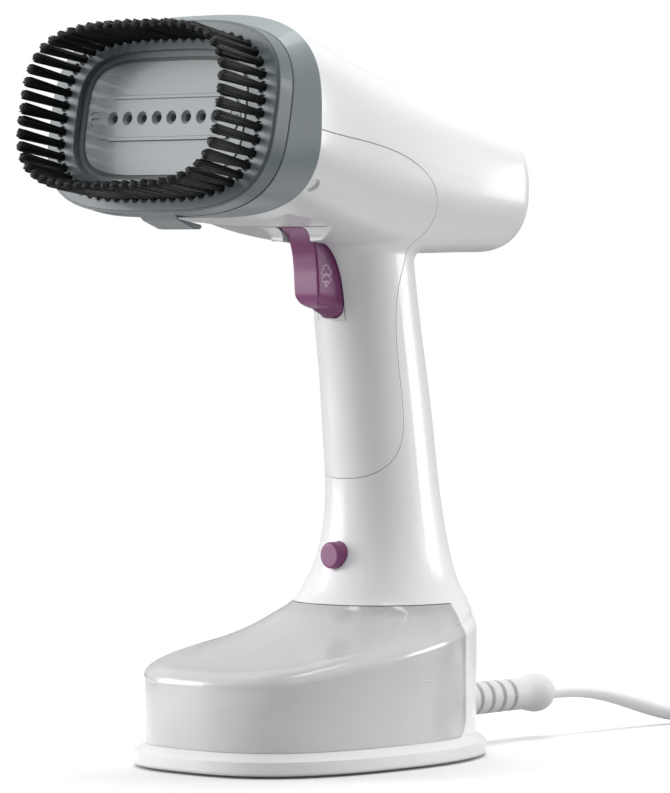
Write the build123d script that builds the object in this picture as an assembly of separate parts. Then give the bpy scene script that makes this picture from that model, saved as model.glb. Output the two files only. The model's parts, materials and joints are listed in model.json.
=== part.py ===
from build123d import *
import math
import os

# Handheld garment steamer, standing on its water tank base.
# Frame: origin on the resting plane under the base, +Z up, the steam plate faces -Y.
# All sizes are in millimetres and angles in degrees.

# ------------------------------------------------------------------ driving dimensions
wall = 2.4                      # moulded housing walls
seam = 0.25                     # visible gap between two neighbouring mouldings
fit = 0.4                       # clearance round a piece that slides or lifts off
pin_play = 0.05                 # radial play of a pin in its bore

# base plan outline: two half superellipses that meet on the X axis
base_half_width = 54.1          # flange, along X
base_front = 74.0               # flange, from the origin forwards
base_rear = 82.0                # flange, from the origin backwards
front_power = 2.8
rear_power = 2.15
base_step = 4.0                 # the flange stands out of the tank and spine by this much
flange_top = 9.3
flange_rim_top = 6.3
base_underside = 0.8
pad_inset = 12.0                # anti-slip pad, in from the flange's edge
pad_thickness = 1.7
tray_inset = 16.0               # hollow underside of the base plate
tray_roof = 6.4

# tank
tank_rear = 44.8                # plane between the tank and the spine
tank_top = 62.4                 # plane between the tank and the handle's foot
tank_corner = 8.0               # rounded lower rear corner of the seam
tank_wall = 2.2
tank_roof = 4.8                 # thick roof under the handle, which holds the latch channel
chamber_floor = 18.0
floor_thickness = 2.2
baffle_y = 21.0
baffle_thickness = 2.0
stopper_x, stopper_y, stopper_radius = 17.0, 32.0, 8.0

# sloping deck and flared foot: one ring per row, bottom to top.
# (height over the origin, slope, front y, rear y, y of the widest point, half width, power)
foot_rings = [
    (42.9, 0.132, -70.0, 78.0, 0.0, 50.1, 2.8, 2.15),
    (46.2, 0.132, -69.0, 77.3, 0.0, 49.1, 2.8, 2.15),
    (47.7, 0.132, -66.5, 76.8, 2.0, 47.3, 2.7, 2.15),
    (48.4, 0.135, -60.0, 76.4, 8.0, 45.6, 2.5, 2.15),
    (49.6, 0.128, -42.0, 76.0, 16.0, 43.4, 2.3, 2.15),
    (53.0, 0.098, -19.0, 75.4, 27.0, 39.8, 2.2, 2.2),
    (57.5, 0.058, -5.0, 74.6, 34.0, 36.6, 2.2, 2.2),
    (62.5, 0.025, 4.7, 73.5, 39.3, 33.4, 2.2, 2.2),
    (68.5, 0.0, 8.6, 72.0, 40.1, 30.0, 2.2, 2.2),
    (75.0, 0.0, 11.7, 70.3, 40.9, 27.0, 2.2, 2.2),
    (88.0, 0.0, 15.6, 67.8, 41.7, 23.2, 2.25, 2.25),
    (105.0, 0.0, 17.0, 65.0, 41.0, 21.0, 2.25, 2.25),
    (127.0, 0.0, 15.3, 62.1, 38.7, 20.1, 2.25, 2.25),
    (152.0, 0.0, 13.1, 58.1, 35.6, 19.7, 2.25, 2.25),
    (176.0, 0.0, 10.2, 53.6, 31.9, 19.5, 2.25, 2.25),
    (190.0, 0.0, 8.2, 51.2, 29.8, 19.6, 2.25, 2.25),
    (198.0, 0.0, 5.7, 49.9, 28.5, 19.7, 2.25, 2.25),
    (203.5, 0.0, 2.2, 49.1, 27.6, 19.8, 2.25, 2.25),
    (208.0, 0.0, -3.2, 48.4, 27.0, 19.9, 2.25, 2.25),
    (212.5, 0.0, -12.0, 47.7, 26.3, 20.0, 2.25, 2.25),
]

# barrel: (y, half width, top z, bottom z, power)
barrel_front = -61.0
barrel_sections = [
    (barrel_front, 64.6, 296.0, 217.0, 3.0),
    (-38.0, 58.6, 290.6, 212.6, 2.8),
    (-13.0, 50.8, 284.2, 208.5, 2.6),
    (20.0, 41.6, 275.6, 204.6, 2.45),
    (60.0, 32.8, 265.2, 203.2, 2.4),
    (105.0, 26.6, 253.8, 203.4, 2.4),
]
tail_round = 9.0
neck_round = 6.0                # fillet where the handle runs into the barrel's underside
neck_low, neck_high = 200.0, 215.0

# front cover: its seam seen from the side, as (y, z), from the head round to the handle
cover_line = [(-61.5, 250.6), (-32.0, 247.2), (-2.6, 243.4), (18.0, 237.6), (31.5, 228.5),
              (36.2, 216.5), (34.6, 204.0), (29.6, 190.0), (28.4, 172.0), (30.6, 152.0),
              (32.4, 136.0), (30.6, 125.0), (24.0, 116.6), (15.0, 112.0)]

# steam face: a plane that leans back from the vertical
face_tilt = 10.4
face_y, face_z = -83.0, 256.0
plate_half, plate_power = (43.7, 22.7), 4.0
plate_front, plate_thickness = -1.2, 3.2       # measured along the face's normal
strip_half_length, strip_half_width = 41.5, 8.3
hole_pitch, hole_count = 8.2, 8
hole_radius, sink_radius = 1.5, 2.7
plate_screw_x = 39.0
gasket = 1.5
nose_half, nose_front = (60.4, 35.4), -1.6
lip_half, lip_front = (63.2, 38.2), -6.6
lip_power = 3.2
ring_wall = 2.4
tongue = 3.5

# brush
brush_half, brush_power = (63.0, 38.0), 3.2
brush_opening, opening_power = (47.5, 26.5), 3.6
brush_front, brush_skirt_rear = 1.5, -6.2
brush_face_thickness = 2.7
tuft_half, tuft_power = (54.6, 31.6), 3.4
tuft_count, tuft_length = 58, 24.0
tuft_root, tuft_tip = 1.5, 2.1
tuft_depth = 1.2
tab_half_width = 10.0

# boiler
boiler_half, boiler_depth = (43.0, 21.0), 15.6
chamber_half, chamber_depth = (32.0, 13.0), 6.0
element_radius = 3.25
post_x, post_y, post_radius = 50.0, 17.0, 3.4
bracket_thickness = 2.0

# pump
pump_z = 246.0
pump_front, pump_back = 6.0, 66.0
pump_radius = 5.5
coil_front, coil_back, coil_half = 18.0, 50.0, 15.0
nozzle_length, nozzle_radius = 8.0, 2.0
hose_radius = 3.4

# trigger
pivot_y, pivot_z = 1.0, 217.0
trigger_pin_radius = 1.5
trigger_half_width = 7.2
trigger_ridge = 6.5             # half width of the finger face
trigger_corner = 5.0            # rounding of its lower corners, seen from the front
trigger_travel = 7.0
plunger_y, plunger_z, plunger_radius = 17.0, 196.0, 1.5
plunger_travel = 2.3

# release button and latch
button_z, button_radius = 81.8, 5.4
button_face, button_back = 9.6, 27.0
button_travel = 3.0
latch_y, latch_z = 31.5, 70.0
latch_arm = 11.8
tooth_y = 19.5
tooth_tip = 60.2

# tank coupling
coupling_x, coupling_z = -14.0, 27.0
nipple_radius = 3.0

# lamp window: a shallow round recess that faces outwards and down, beside the head ring
lamp_x, lamp_y, lamp_z = 56.2, -57.4, 229.0
lamp_radius, lamp_sink = 2.6, 1.0

base_screws_at = [(-31.0, 51.2), (14.0, 51.2), (31.0, 51.2)]
relief_root_radius = 6.5
pump_mount_radius = 9.0

# mains cord
cord_diameter = 6.4
relief_z = 18.7
relief_end = 141.0
cord_route = [(0, 141, 18.7), (0, 160, 18.7), (0.5, 180, 15.2), (1, 199, 9.6), (2.5, 217, 4.6),
              (5, 232, 3.2), (7.6, 250, 3.2)]
coil_centre = (50.0, 250.0)
coil_radius = 36.0              # middle of the turns
coil_columns, coil_layers = 3, 4
lead_route = [(92.4, 250, 22.4), (93.2, 231, 20.4), (95.5, 212, 14.6), (97.8, 195, 9.6),
              (99.0, 180, 8.0)]
plug_length, plug_width, plug_height = 40.0, 33.0, 16.0
plug_pin_radius, plug_pin_length, plug_pin_pitch = 2.4, 19.0, 19.0

parts = {}


# ------------------------------------------------------------------ shared shapes
def superellipse(half_x, half_y, power, count=28):
    """Closed outline |x/half_x|^power + |y/half_y|^power = 1, evenly stepped in angle."""
    points = []
    for step in range(count):
        angle = 2 * math.pi * step / count
        c, s = math.cos(angle), math.sin(angle)
        reach = (abs(c) ** power + abs(s) ** power) ** (-1 / power)
        points.append((half_x * reach * c, half_y * reach * s))
    return make_face(Spline(*points, periodic=True))


def plan_ring(height, slope, front, rear, middle, half, power_f, power_r, count=36):
    """Closed outline in the plane z = height + slope * y, widest at y = middle."""
    points = []
    for step in range(count):
        angle = 2 * math.pi * step / count
        c, s = math.cos(angle), math.sin(angle)
        power = power_f if s < 0 else power_r
        reach = (abs(c) ** power + abs(s) ** power) ** (-1 / power)
        depth = (middle - front) if s < 0 else (rear - middle)
        y = middle + depth * reach * s
        points.append((half * reach * c, y, height + slope * y))
    return make_face(Spline(*points, periodic=True))


def base_ring(inset, height):
    """The base's plan outline moved in by inset, as a horizontal face."""
    return plan_ring(height, 0, inset - base_front, base_rear - inset, 0,
                     base_half_width - inset, front_power, rear_power)


def face_plane(offset=0.0):
    """Plane parallel to the steam face, offset along its outward normal."""
    tilt = math.radians(face_tilt)
    normal = (0, -math.cos(tilt), math.sin(tilt))
    origin = (0, face_y + offset * normal[1], face_z + offset * normal[2])
    return Plane(origin=origin, x_dir=(1, 0, 0), z_dir=normal)


def face_slab(half, power, rear, front):
    """Superellipse block between two offsets from the steam face."""
    return extrude(face_plane(rear) * superellipse(half[0], half[1], power), front - rear)


def face_cylinder(x, y, radius, rear, front):
    return extrude(face_plane(rear) * Pos(x, y) * Circle(radius), front - rear)


def rod(start, end, radius):
    """Round bar between two points."""
    line = Line(start, end)
    return sweep(Plane(origin=start, z_dir=line % 0) * Circle(radius), path=line)


def bar_x(y, z, radius, x0, x1):
    return Plane(origin=(x0, y, z), z_dir=(1, 0, 0)) * extrude(Circle(radius), x1 - x0)


def bar_y(x, z, radius, y0, y1):
    return Plane(origin=(x, y0, z), z_dir=(0, 1, 0)) * extrude(Circle(radius), y1 - y0)


def bar_z(x, y, radius, z0, z1):
    return Pos(x, y, z0) * extrude(Circle(radius), z1 - z0)


def block(x0, x1, y0, y1, z0, z1):
    return Pos((x0 + x1) / 2, (y0 + y1) / 2, (z0 + z1) / 2) * Box(x1 - x0, y1 - y0, z1 - z0)


def side_profile(points, half_width):
    """Closed (y, z) outline carried from -half_width to +half_width along X."""
    face = make_face(Polyline(*[(-half_width, y, z) for y, z in points], close=True))
    return extrude(face, 2 * half_width, dir=(1, 0, 0))


def bend_radii(route):
    """Largest arc at each inner point: 0.45 of the shorter run over tan(half the turn)."""
    radii = []
    for before, here, after in zip(route, route[1:], route[2:]):
        run_in = Vector(*here) - Vector(*before)
        run_out = Vector(*after) - Vector(*here)
        turn = math.radians(run_in.get_angle(run_out))
        radii.append(0.45 * min(run_in.length, run_out.length) / math.tan(turn / 2))
    return radii


def tube(route, radius, bore=0.0):
    """Round tube along straight runs joined by tangent arcs."""
    path = FilletPolyline(*route, radius=bend_radii(route))
    start = Plane(origin=route[0], z_dir=Vector(*route[1]) - Vector(*route[0]))
    body = sweep(start * Circle(radius), path=path)
    if bore:
        body = body - sweep(start * Circle(bore), path=path)
    return body


# ------------------------------------------------------------------ outer form of the body
def barrel_form(inset=0.0):
    sections = []
    for y, half, top, bottom, power in barrel_sections:
        at = y
        if inset and y == barrel_sections[-1][0]:
            at = y - inset
        plane = Plane(origin=(0, at, (top + bottom) / 2), x_dir=(1, 0, 0), z_dir=(0, -1, 0))
        sections.append(plane * superellipse(half - inset, (top - bottom) / 2 - inset, power))
    form = loft(sections)
    if not inset:
        form = fillet(form.edges().sort_by(Axis.Y)[-1], tail_round)
    return form


def foot_form(inset=0.0):
    """Deck, flared foot and handle in one loft, over the upright wall of the base."""
    rings = []
    for height, slope, front, rear, middle, half, power_f, power_r in foot_rings:
        drop = inset * min(1.0, slope / foot_rings[0][1])
        rings.append(plan_ring(height - drop, slope, front + inset, rear - inset, middle,
                               half - inset, power_f, power_r))
    upper = loft(rings)
    height, slope = foot_rings[0][0] - inset, foot_rings[0][1]
    upright = extrude(base_ring(base_step + inset, 0), 80)
    lid = Plane(origin=(0, 0, height), x_dir=(1, 0, 0), z_dir=(0, -slope, 1))
    upright = upright - lid * Pos(0, 0, 100) * Box(400, 400, 200)
    return upright + upper


def tank_space(grow, half_width=90.0):
    """Space of the tank seen from the side, grown by grow on its top, rear and bottom."""
    rear, top, bottom = tank_rear + grow, tank_top + grow, flange_top - grow
    corner = tank_corner + grow
    space = block(-half_width, half_width, -150, rear, bottom, top)
    lower = space.edges().filter_by(Axis.X).sort_by(Axis.Z)[:2].sort_by(Axis.Y)[-1]
    return fillet(lower, corner)


def cover_space(grow):
    """Space in front of the cover's seam line, with the line moved out by grow."""
    shifted = []
    for index, (y, z) in enumerate(cover_line):
        before = cover_line[max(index - 1, 0)]
        after = cover_line[min(index + 1, len(cover_line) - 1)]
        along_y, along_z = after[0] - before[0], after[1] - before[1]
        length = math.hypot(along_y, along_z)
        shifted.append((-90, y - grow * along_z / length, z + grow * along_y / length))
    line = Spline(*shifted)
    first, last = shifted[0], shifted[-1]
    corners = [last, (-90, -40.0, last[2]), (-90, -90.0, 190.0), (-90, -90.0, first[2]), first]
    face = make_face([line, Polyline(*corners)])
    return extrude(face, 180.0, dir=(1, 0, 0))


def finger_scoop(grow=0.0):
    """Shallow recess in the head's underside, in front of the trigger."""
    outline = [(-38 - grow, -52 - grow), (38 + grow, -52 - grow), (35 + grow, -23 + grow),
               (14 + grow, -9 + grow), (-14 - grow, -9 + grow), (-35 - grow, -23 + grow)]
    column = extrude(make_face(Polyline(*outline, close=True)), 60)
    roof = Plane(origin=(0, -52, 218.6 + grow), x_dir=(1, 0, 0), z_dir=(0, 0.125, 1))
    return Pos(0, 0, 180) * column - roof * Pos(0, 0, 50) * Box(300, 300, 100)


# trigger outline seen from the side, (y, z), clockwise from its top front edge
trigger_front = [(-12.5, 214.0), (-8.8, 211.6), (-6.6, 208.9), (-4.8, 203.0), (-3.9, 196.4),
                 (-3.6, 190.0), (-3.3, 185.6), (-1.7, 182.0), (3.0, 179.3), (8.6, 177.3)]
trigger_rear = [(11.9, 177.6), (9.6, 196.0), (8.0, 221.0), (-5.0, 221.0), (-11.0, 215.8)]


def trigger_outline():
    front = Spline(*[(0, y, z) for y, z in trigger_front])
    rest = Polyline(*[(0, y, z) for y, z in [trigger_front[-1], *trigger_rear, trigger_front[0]]])
    return make_face([front, rest])


def neck_fillet(form):
    """Rounds the inner corner where the handle meets the barrel."""
    corner = []
    for edge in form.edges():
        box = edge.bounding_box()
        if box.min.Z > neck_low and box.max.Z < neck_high and box.max.X > 10:
            corner.append(edge)
    return fillet(corner, neck_round)


def make_housing():
    """Rear shell with the spine, and the front cover: one skin, parted at the cover line."""
    outer = neck_fillet(barrel_form() + foot_form())
    inner = barrel_form(wall) + foot_form(wall)
    solid = outer - tank_space(seam / 2) - block(-90, 90, -100, 100, -10, flange_top)
    hollow = inner - tank_space(seam / 2 + wall) - finger_scoop(wall)
    mouth = block(-90, 90, barrel_front - 20, barrel_front, 190, 320)
    shell = solid - hollow - mouth - finger_scoop()
    window = side_profile([(-13.8, 190.0), (-13.8, 230.0), (pivot_y + 15, 230.0),
                           (pivot_y + 15, 176.4), (0.0, 176.4)], trigger_half_width + fit)
    cover = (shell & cover_space(-seam / 2)) - window
    rear = shell - cover_space(seam / 2)
    return inner, cover, rear


def lamp_cylinder(radius, start, end):
    """Cylinder along the lamp's axis, from start to end past the skin."""
    plane = Plane(origin=(lamp_x, lamp_y, lamp_z), x_dir=(0, 1, 0), z_dir=(1, 0, -1))
    return extrude(plane.offset(start) * Circle(radius), end - start)


def add_housing_details(inner, cover, rear):
    # ears that carry the trigger pin, inside the front cover
    for side in (-1, 1):
        x0 = side * (trigger_half_width + fit)
        ear = block(min(x0, x0 + side * 3.2), max(x0, x0 + side * 3.2),
                    pivot_y - 5, pivot_y + 5, 203, pivot_z + 4)
        cover = cover + (ear & inner)
    cover = cover - bar_x(pivot_y, pivot_z, trigger_pin_radius, -30, 30)
    # lamp window in the cover, beside the head ring
    cover = cover - lamp_cylinder(lamp_radius, -8, 1) - lamp_cylinder(lamp_radius + 0.7, -lamp_sink, 4)
    # button guide
    guide = bar_y(0, button_z, button_radius + 2, 8, button_back - 4)
    rear = rear + (guide & (inner + rear))
    rear = rear - bar_y(0, button_z, button_radius + 0.1, 0, button_back)
    # slot for the latch tooth in the handle's floor
    rear = rear - block(-5, 5, tooth_y - 5, tooth_y + 3.5, tank_top - 2, tank_top + 5)
    # cheeks that carry the latch pin
    for side in (-1, 1):
        cheek = block(min(side * 5.2, side * 8.0), max(side * 5.2, side * 8.0),
                      latch_y - 4, latch_y + 4, tank_top + 1, latch_z + 4)
        rear = rear + cheek
    rear = rear - bar_x(latch_y, latch_z, 1.5, -9, 9)
    # coupling hole in the spine's front wall
    rear = rear - bar_y(coupling_x, coupling_z, nipple_radius, tank_rear - 5, tank_rear + 6)
    # pump saddles across the barrel
    for y, low in ((pump_front + 4, 243.0), (pump_back - 8, 232.0)):
        rib = (inner & block(-70, 70, y, y + 4, low, 300))
        rear = rear + rib
        rear = rear - bar_y(0, pump_z, pump_mount_radius, y - 1, y + 5)
    # screw bosses at the foot of the spine
    for x, y in base_screws_at:
        rear = rear + bar_z(x, y, 4.0, flange_top + 0.1, 34)
        rear = rear - bar_z(x, y, 1.5, flange_top - 1, 26)
    # mouth of the strain relief
    rear = rear - bar_y(0, relief_z, relief_root_radius, 60, 100)
    return cover, rear


def make_base():
    plate = extrude(base_ring(0, base_underside), flange_rim_top - base_underside)
    slope = loft([base_ring(0, flange_rim_top), base_ring(base_step, flange_top)])
    plate = plate + slope
    plate = fillet(plate.faces().sort_by(Axis.Z)[0].edges(), 1.2)
    plate = plate - extrude(base_ring(tray_inset, 0), tray_roof)
    plate = plate - extrude(base_ring(pad_inset, 0), pad_thickness)
    for x, y in base_screws_at:
        plate = plate - bar_z(x, y, 1.9, 0, 12) - bar_z(x, y, 3.5, 0, tray_roof)
    parts["base_plate"] = plate
    parts["foot_pad"] = extrude(base_ring(pad_inset + 0.2, 0), pad_thickness)
    screws = []
    for x, y in base_screws_at:
        head = bar_z(x, y, 3.2, tray_roof - 2.2, tray_roof)
        screws.append(head + bar_z(x, y, 1.5, tray_roof, 24))
    parts["base_screws"] = Compound(screws)


def make_tank():
    outer = foot_form()
    body = outer & tank_space(-seam / 2)
    gap = seam / 2 + tank_wall
    region = tank_space(-gap) + block(-90, 90, -150, tank_rear - tank_corner - gap, 0,
                                      chamber_floor)
    region = region - block(-90, 90, -200, 100, tank_top - tank_roof, 80)
    cavity = foot_form(tank_wall) & region
    shell = body - cavity
    shell = shell - block(-5, 5, tooth_y - 4.5, tank_rear + 5, tooth_tip - 0.6, tank_top + 3)
    filler = bar_z(stopper_x, stopper_y, stopper_radius, tank_top - 12, tank_top + 5)
    shell = shell - filler
    shell = shell - bar_y(coupling_x, coupling_z, 7.0, tank_rear - 8, tank_rear + 5)
    floor = cavity & block(-90, 90, -100, tank_rear, chamber_floor - floor_thickness,
                           chamber_floor)
    baffle = cavity & block(-90, 90, baffle_y, baffle_y + baffle_thickness, chamber_floor - 1, 70)
    floor = floor + baffle
    floor = floor - bar_y(coupling_x, coupling_z, 2.2, 0, 44)
    parts["tank_shell"] = shell
    parts["tank_floor"] = floor
    plug = bar_z(stopper_x, stopper_y, stopper_radius, tank_top - 9, tank_top - 0.5)
    parts["filler_stopper"] = plug - bar_z(stopper_x, stopper_y, 4.5, tank_top - 3, tank_top)
    cup = bar_y(coupling_x, coupling_z, 7.0, 31, tank_rear - seam / 2)
    cup = cup - bar_y(coupling_x, coupling_z, nipple_radius + fit, 37, 60)
    cup = cup - bar_y(coupling_x, coupling_z, 5.4, 40.5, 60)
    cup = cup - bar_y(coupling_x, coupling_z, 1.6, 20, 60)
    parts["valve_body"] = cup - bar_y(coupling_x, coupling_z, 2.6, 32, 36)
    parts["valve_poppet"] = (bar_y(coupling_x, coupling_z, 2.3, 32.4, 34.0)
                             + bar_y(coupling_x, coupling_z, 1.2, 32.4, 37.4))
    ring = Plane(origin=(coupling_x, 42.6, coupling_z), z_dir=(0, 1, 0)) * Torus(4.4, 0.95)
    parts["valve_seal"] = ring
    pickup = tube([(coupling_x, 31, coupling_z), (coupling_x, 14, coupling_z),
                   (coupling_x, 0, 22.5), (coupling_x, -12, 20.6)], 2.1, 1.2)
    parts["pickup_tube"] = pickup


def make_head():
    # steam head ring: a tapering band with a nose that carries the plate
    lip = face_plane(lip_front) * superellipse(lip_half[0], lip_half[1], lip_power)
    y, half, top, bottom, power = barrel_sections[0]
    rear_plane = Plane(origin=(0, y, (top + bottom) / 2), x_dir=(1, 0, 0), z_dir=(0, -1, 0))
    half_height = (top - bottom) / 2
    rim = rear_plane * superellipse(half, half_height, power)
    band = loft([lip, rim])
    nose = face_slab(nose_half, lip_power, lip_front - 1.0, nose_front)
    inner_lip = face_plane(-4.4) * superellipse(lip_half[0] - 5, lip_half[1] - 5, lip_power)
    inner_rim = rear_plane * superellipse(half - wall - 3.3, half_height - wall - 3.3, power)
    cavity = loft([inner_lip, inner_rim])
    collar = rear_plane * superellipse(half - wall - 1.3, half_height - wall - 1.3, power)
    collar = extrude(collar, -tongue)
    through = extrude(inner_rim, -tongue)
    opening = face_slab((plate_half[0] + gasket, plate_half[1] + gasket), plate_power, -12, 5)
    ring = band + nose + collar - cavity - through - opening
    for sx in (-1, 1):
        for sy in (-1, 1):
            ring = ring + face_cylinder(sx * post_x, sy * post_y, post_radius, -20.0, -4.0)
            ring = ring - face_cylinder(sx * post_x, sy * post_y, 1.3, -20.5, -8.0)
    parts["head_ring"] = ring

    rear = plate_front - plate_thickness
    plate = face_slab(plate_half, plate_power, rear, plate_front)
    strip = extrude(face_plane(plate_front) * SlotOverall(2 * strip_half_length,
                                                         2 * strip_half_width), 0.5)
    plate = plate + strip
    for side in (-1, 1):
        ridge = face_plane(plate_front) * Pos(3, side * strip_half_width) * Rectangle(66, 1.4)
        plate = plate + extrude(ridge, 1.0)
    top = plate_front + 0.5
    for index in range(hole_count):
        x = (index - (hole_count - 1) / 2) * hole_pitch
        plate = plate - face_cylinder(x, 0, hole_radius, rear - 1, top + 1)
        sink = face_plane(top - 1.2) * Pos(x, 0) * Circle(hole_radius)
        mouth = face_plane(top) * Pos(x, 0) * Circle(sink_radius)
        plate = plate - loft([sink, mouth])
    screws = []
    for side in (-1, 1):
        x = side * plate_screw_x
        plate = plate - face_cylinder(x, 0, 1.5, rear - 1, top + 1)
        plate = plate - face_cylinder(x, 0, 2.8, top - 1.4, top + 1)
        head = face_cylinder(x, 0, 2.7, top - 1.4, top - 0.2)
        head = head - extrude(face_plane(top - 0.8) * Pos(x, 0) * Rectangle(4.4, 0.8), 2)
        screws.append(head + face_cylinder(x, 0, 1.5, -12.0, top - 1.4))
    parts["steam_plate"] = plate
    parts["plate_screws"] = Compound(screws)
    seal = face_slab((plate_half[0] + gasket, plate_half[1] + gasket), plate_power,
                     rear, plate_front - 0.4)
    parts["plate_seal"] = seal - face_slab(plate_half, plate_power, rear - 1, 2)
    return rear


def make_boiler(front):
    back = front - boiler_depth
    body = face_slab(boiler_half, 4.0, back, front)
    chamber = face_slab(chamber_half, 4.0, front - chamber_depth, front + 1)
    local = face_plane(back + boiler_depth / 2 - 3.4)
    route = [(-28, 9, -14), (-28, 9, 0), (30, 11, 0), (30, -11, 0), (-28, -9, 0),
             (-28, -9, -14)]
    world = [tuple(local.from_local_coords(Vector(*p))) for p in route]
    path = FilletPolyline(*world, radius=[5.5, 8.0, 8.0, 5.5])
    start = Plane(origin=world[0], z_dir=Vector(*world[1]) - Vector(*world[0]))
    element = sweep(start * Circle(element_radius), path=path)
    body = body - chamber - element
    for side in (-1, 1):
        body = body - face_cylinder(side * plate_screw_x, 0, 1.5, -12.0, front + 1)
    inlet = face_cylinder(0, 0, nozzle_radius, back - 9, front - chamber_depth)
    body = body - inlet
    parts["boiler_block"] = body
    parts["heating_element"] = element
    parts["boiler_inlet"] = inlet - face_cylinder(0, 0, 1.1, back - 20, front)
    bracket = face_slab((54.0, 24.0), 3.2, back - bracket_thickness, back)
    bracket = bracket - face_cylinder(0, 0, 5.0, back - 5, back + 5)
    for sy in (-1, 1):
        bracket = bracket - face_cylinder(-28, sy * 9, element_radius + 1, back - 5, back + 5)
    screws = []
    for sx in (-1, 1):
        for sy in (-1, 1):
            x, y = sx * post_x, sy * post_y
            bracket = bracket - face_cylinder(x, y, 1.6, back - 5, back + 5)
            head = face_cylinder(x, y, 2.8, back - bracket_thickness - 2, back - bracket_thickness)
            shank = face_cylinder(x, y, 1.3, back - bracket_thickness, -9.0)
            screws.append(head + shank)
    bracket = bracket - face_cylinder(16, 0, 8.4, back - 5, back + 5)
    bracket = bracket - face_slab((3.2, 9.0), 6.0, back - 5, back + 5)
    parts["boiler_bracket"] = bracket
    parts["bracket_screws"] = Compound(screws)
    disc = face_cylinder(16, 0, 8.0, back - 7, back)
    parts["thermostat"] = disc + face_cylinder(16, 0, 5.0, back - 11, back - 7)
    fuse_start = face_plane(back - bracket_thickness - 2.1).from_local_coords(Vector(-19, 13, 0))
    fuse_end = face_plane(back - bracket_thickness - 2.1).from_local_coords(Vector(-5, 13, 0))
    parts["thermal_fuse"] = rod(tuple(fuse_start), tuple(fuse_end), 2.0)
    return back


def make_brush():
    face = face_slab((brush_half[0] - 0.8, brush_half[1] - 0.8), brush_power,
                     brush_front - brush_face_thickness, brush_front)
    skirt = face_slab(brush_half, brush_power, brush_skirt_rear, brush_front - 0.8)
    opening = face_slab(brush_opening, opening_power, -20, 5)
    tab = side_profile([(-88.0, 219.4), (-84.0, 215.9), (-76.0, 212.8), (-72.8, 212.5),
                        (-71.6, 213.4), (-72.2, 214.3), (-84.3, 216.5), (-84.9, 219.6)],
                       tab_half_width)
    frame = face + skirt + tab - opening
    bore = face_slab((nose_half[0] + fit, nose_half[1] + fit), lip_power,
                     brush_skirt_rear - 3, brush_front - brush_face_thickness)
    frame = frame - bore
    tufts = []
    for x, y in tuft_places():
        root = face_plane(brush_front - tuft_depth) * Pos(x, y) * Circle(tuft_root)
        tip = face_plane(brush_front + tuft_length) * Pos(x, y) * Circle(tuft_tip)
        frame = frame - face_cylinder(x, y, tuft_tip + 0.2, brush_front - tuft_depth, 9)
        tufts.append(loft([root, tip]))
    parts["brush_frame"] = frame
    parts["bristle_tufts"] = Compound(tufts)


def tuft_places():
    """Evenly spaced points along the brush's superellipse."""
    samples = 2000
    ring = []
    for step in range(samples + 1):
        angle = 2 * math.pi * step / samples
        c, s = math.cos(angle), math.sin(angle)
        reach = (abs(c) ** tuft_power + abs(s) ** tuft_power) ** (-1 / tuft_power)
        ring.append((tuft_half[0] * reach * c, tuft_half[1] * reach * s))
    lengths = [0.0]
    for a, b in zip(ring, ring[1:]):
        lengths.append(lengths[-1] + math.dist(a, b))
    places = []
    index = 0
    for tuft in range(tuft_count):
        target = lengths[-1] * tuft / tuft_count
        while lengths[index] < target:
            index += 1
        places.append(ring[index])
    return places


def make_pump(inlet_back):
    body = bar_y(0, pump_z, pump_radius, pump_front, pump_back)
    body = body + bar_y(0, pump_z, nozzle_radius, pump_front - nozzle_length, pump_front)
    body = body + bar_y(0, pump_z, nozzle_radius, pump_back, pump_back + nozzle_length)
    parts["pump_body"] = body - bar_y(0, pump_z, 1.0, pump_front - 20, pump_back + 20)
    coil = block(-coil_half, coil_half, coil_front, coil_back, pump_z - coil_half,
                 pump_z + coil_half)
    coil = fillet(coil.edges().filter_by(Axis.Y), 3)
    parts["pump_coil"] = coil - bar_y(0, pump_z, pump_radius, 0, 90)
    mounts = []
    for y in (pump_front + 4, pump_back - 8):
        mount = bar_y(0, pump_z, pump_mount_radius, y, y + 4)
        mounts.append(mount - bar_y(0, pump_z, pump_radius, y - 1, y + 5))
    parts["pump_mounts"] = Compound(mounts)
    nozzle_tip = face_plane(inlet_back - 9).from_local_coords(Vector(0, 0, 0))
    nozzle_root = face_plane(inlet_back - 1).from_local_coords(Vector(0, 0, 0))
    behind = face_plane(inlet_back - 21).from_local_coords(Vector(0, 0, 0))
    start = pump_front - nozzle_length
    route = [(0, pump_front, pump_z), (0, start - 5, pump_z), tuple(behind),
             tuple(nozzle_root)]
    parts["feed_hose"] = tube(route, hose_radius, nozzle_radius)
    tail = pump_back + nozzle_length
    suction = [(coupling_x, 49.5, coupling_z), (coupling_x, 62, coupling_z), (-13.0, 65.5, 46),
               (-10.0, 59.0, 84), (-9.0, 53.0, 124), (-8.0, 47.0, 160), (-7.0, 41.0, 190),
               (-6.0, 41.0, 211), (-4.0, 54.0, 224), (-2.0, 76.0, 227), (0, 92.0, 233),
               (0, 87, pump_z),
               (0, pump_back, pump_z)]
    parts["suction_hose"] = tube(suction, hose_radius, nozzle_radius)
    nipple = bar_y(coupling_x, coupling_z, nipple_radius, 38.0, 47.5)
    nipple = nipple + bar_y(coupling_x, coupling_z, 6.0, tank_rear + seam / 2 + wall, 49.5)
    nipple = nipple + bar_y(coupling_x, coupling_z, nozzle_radius, 49.5, 57)
    parts["coupling_nipple"] = nipple - bar_y(coupling_x, coupling_z, 1.0, 30, 60)


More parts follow.
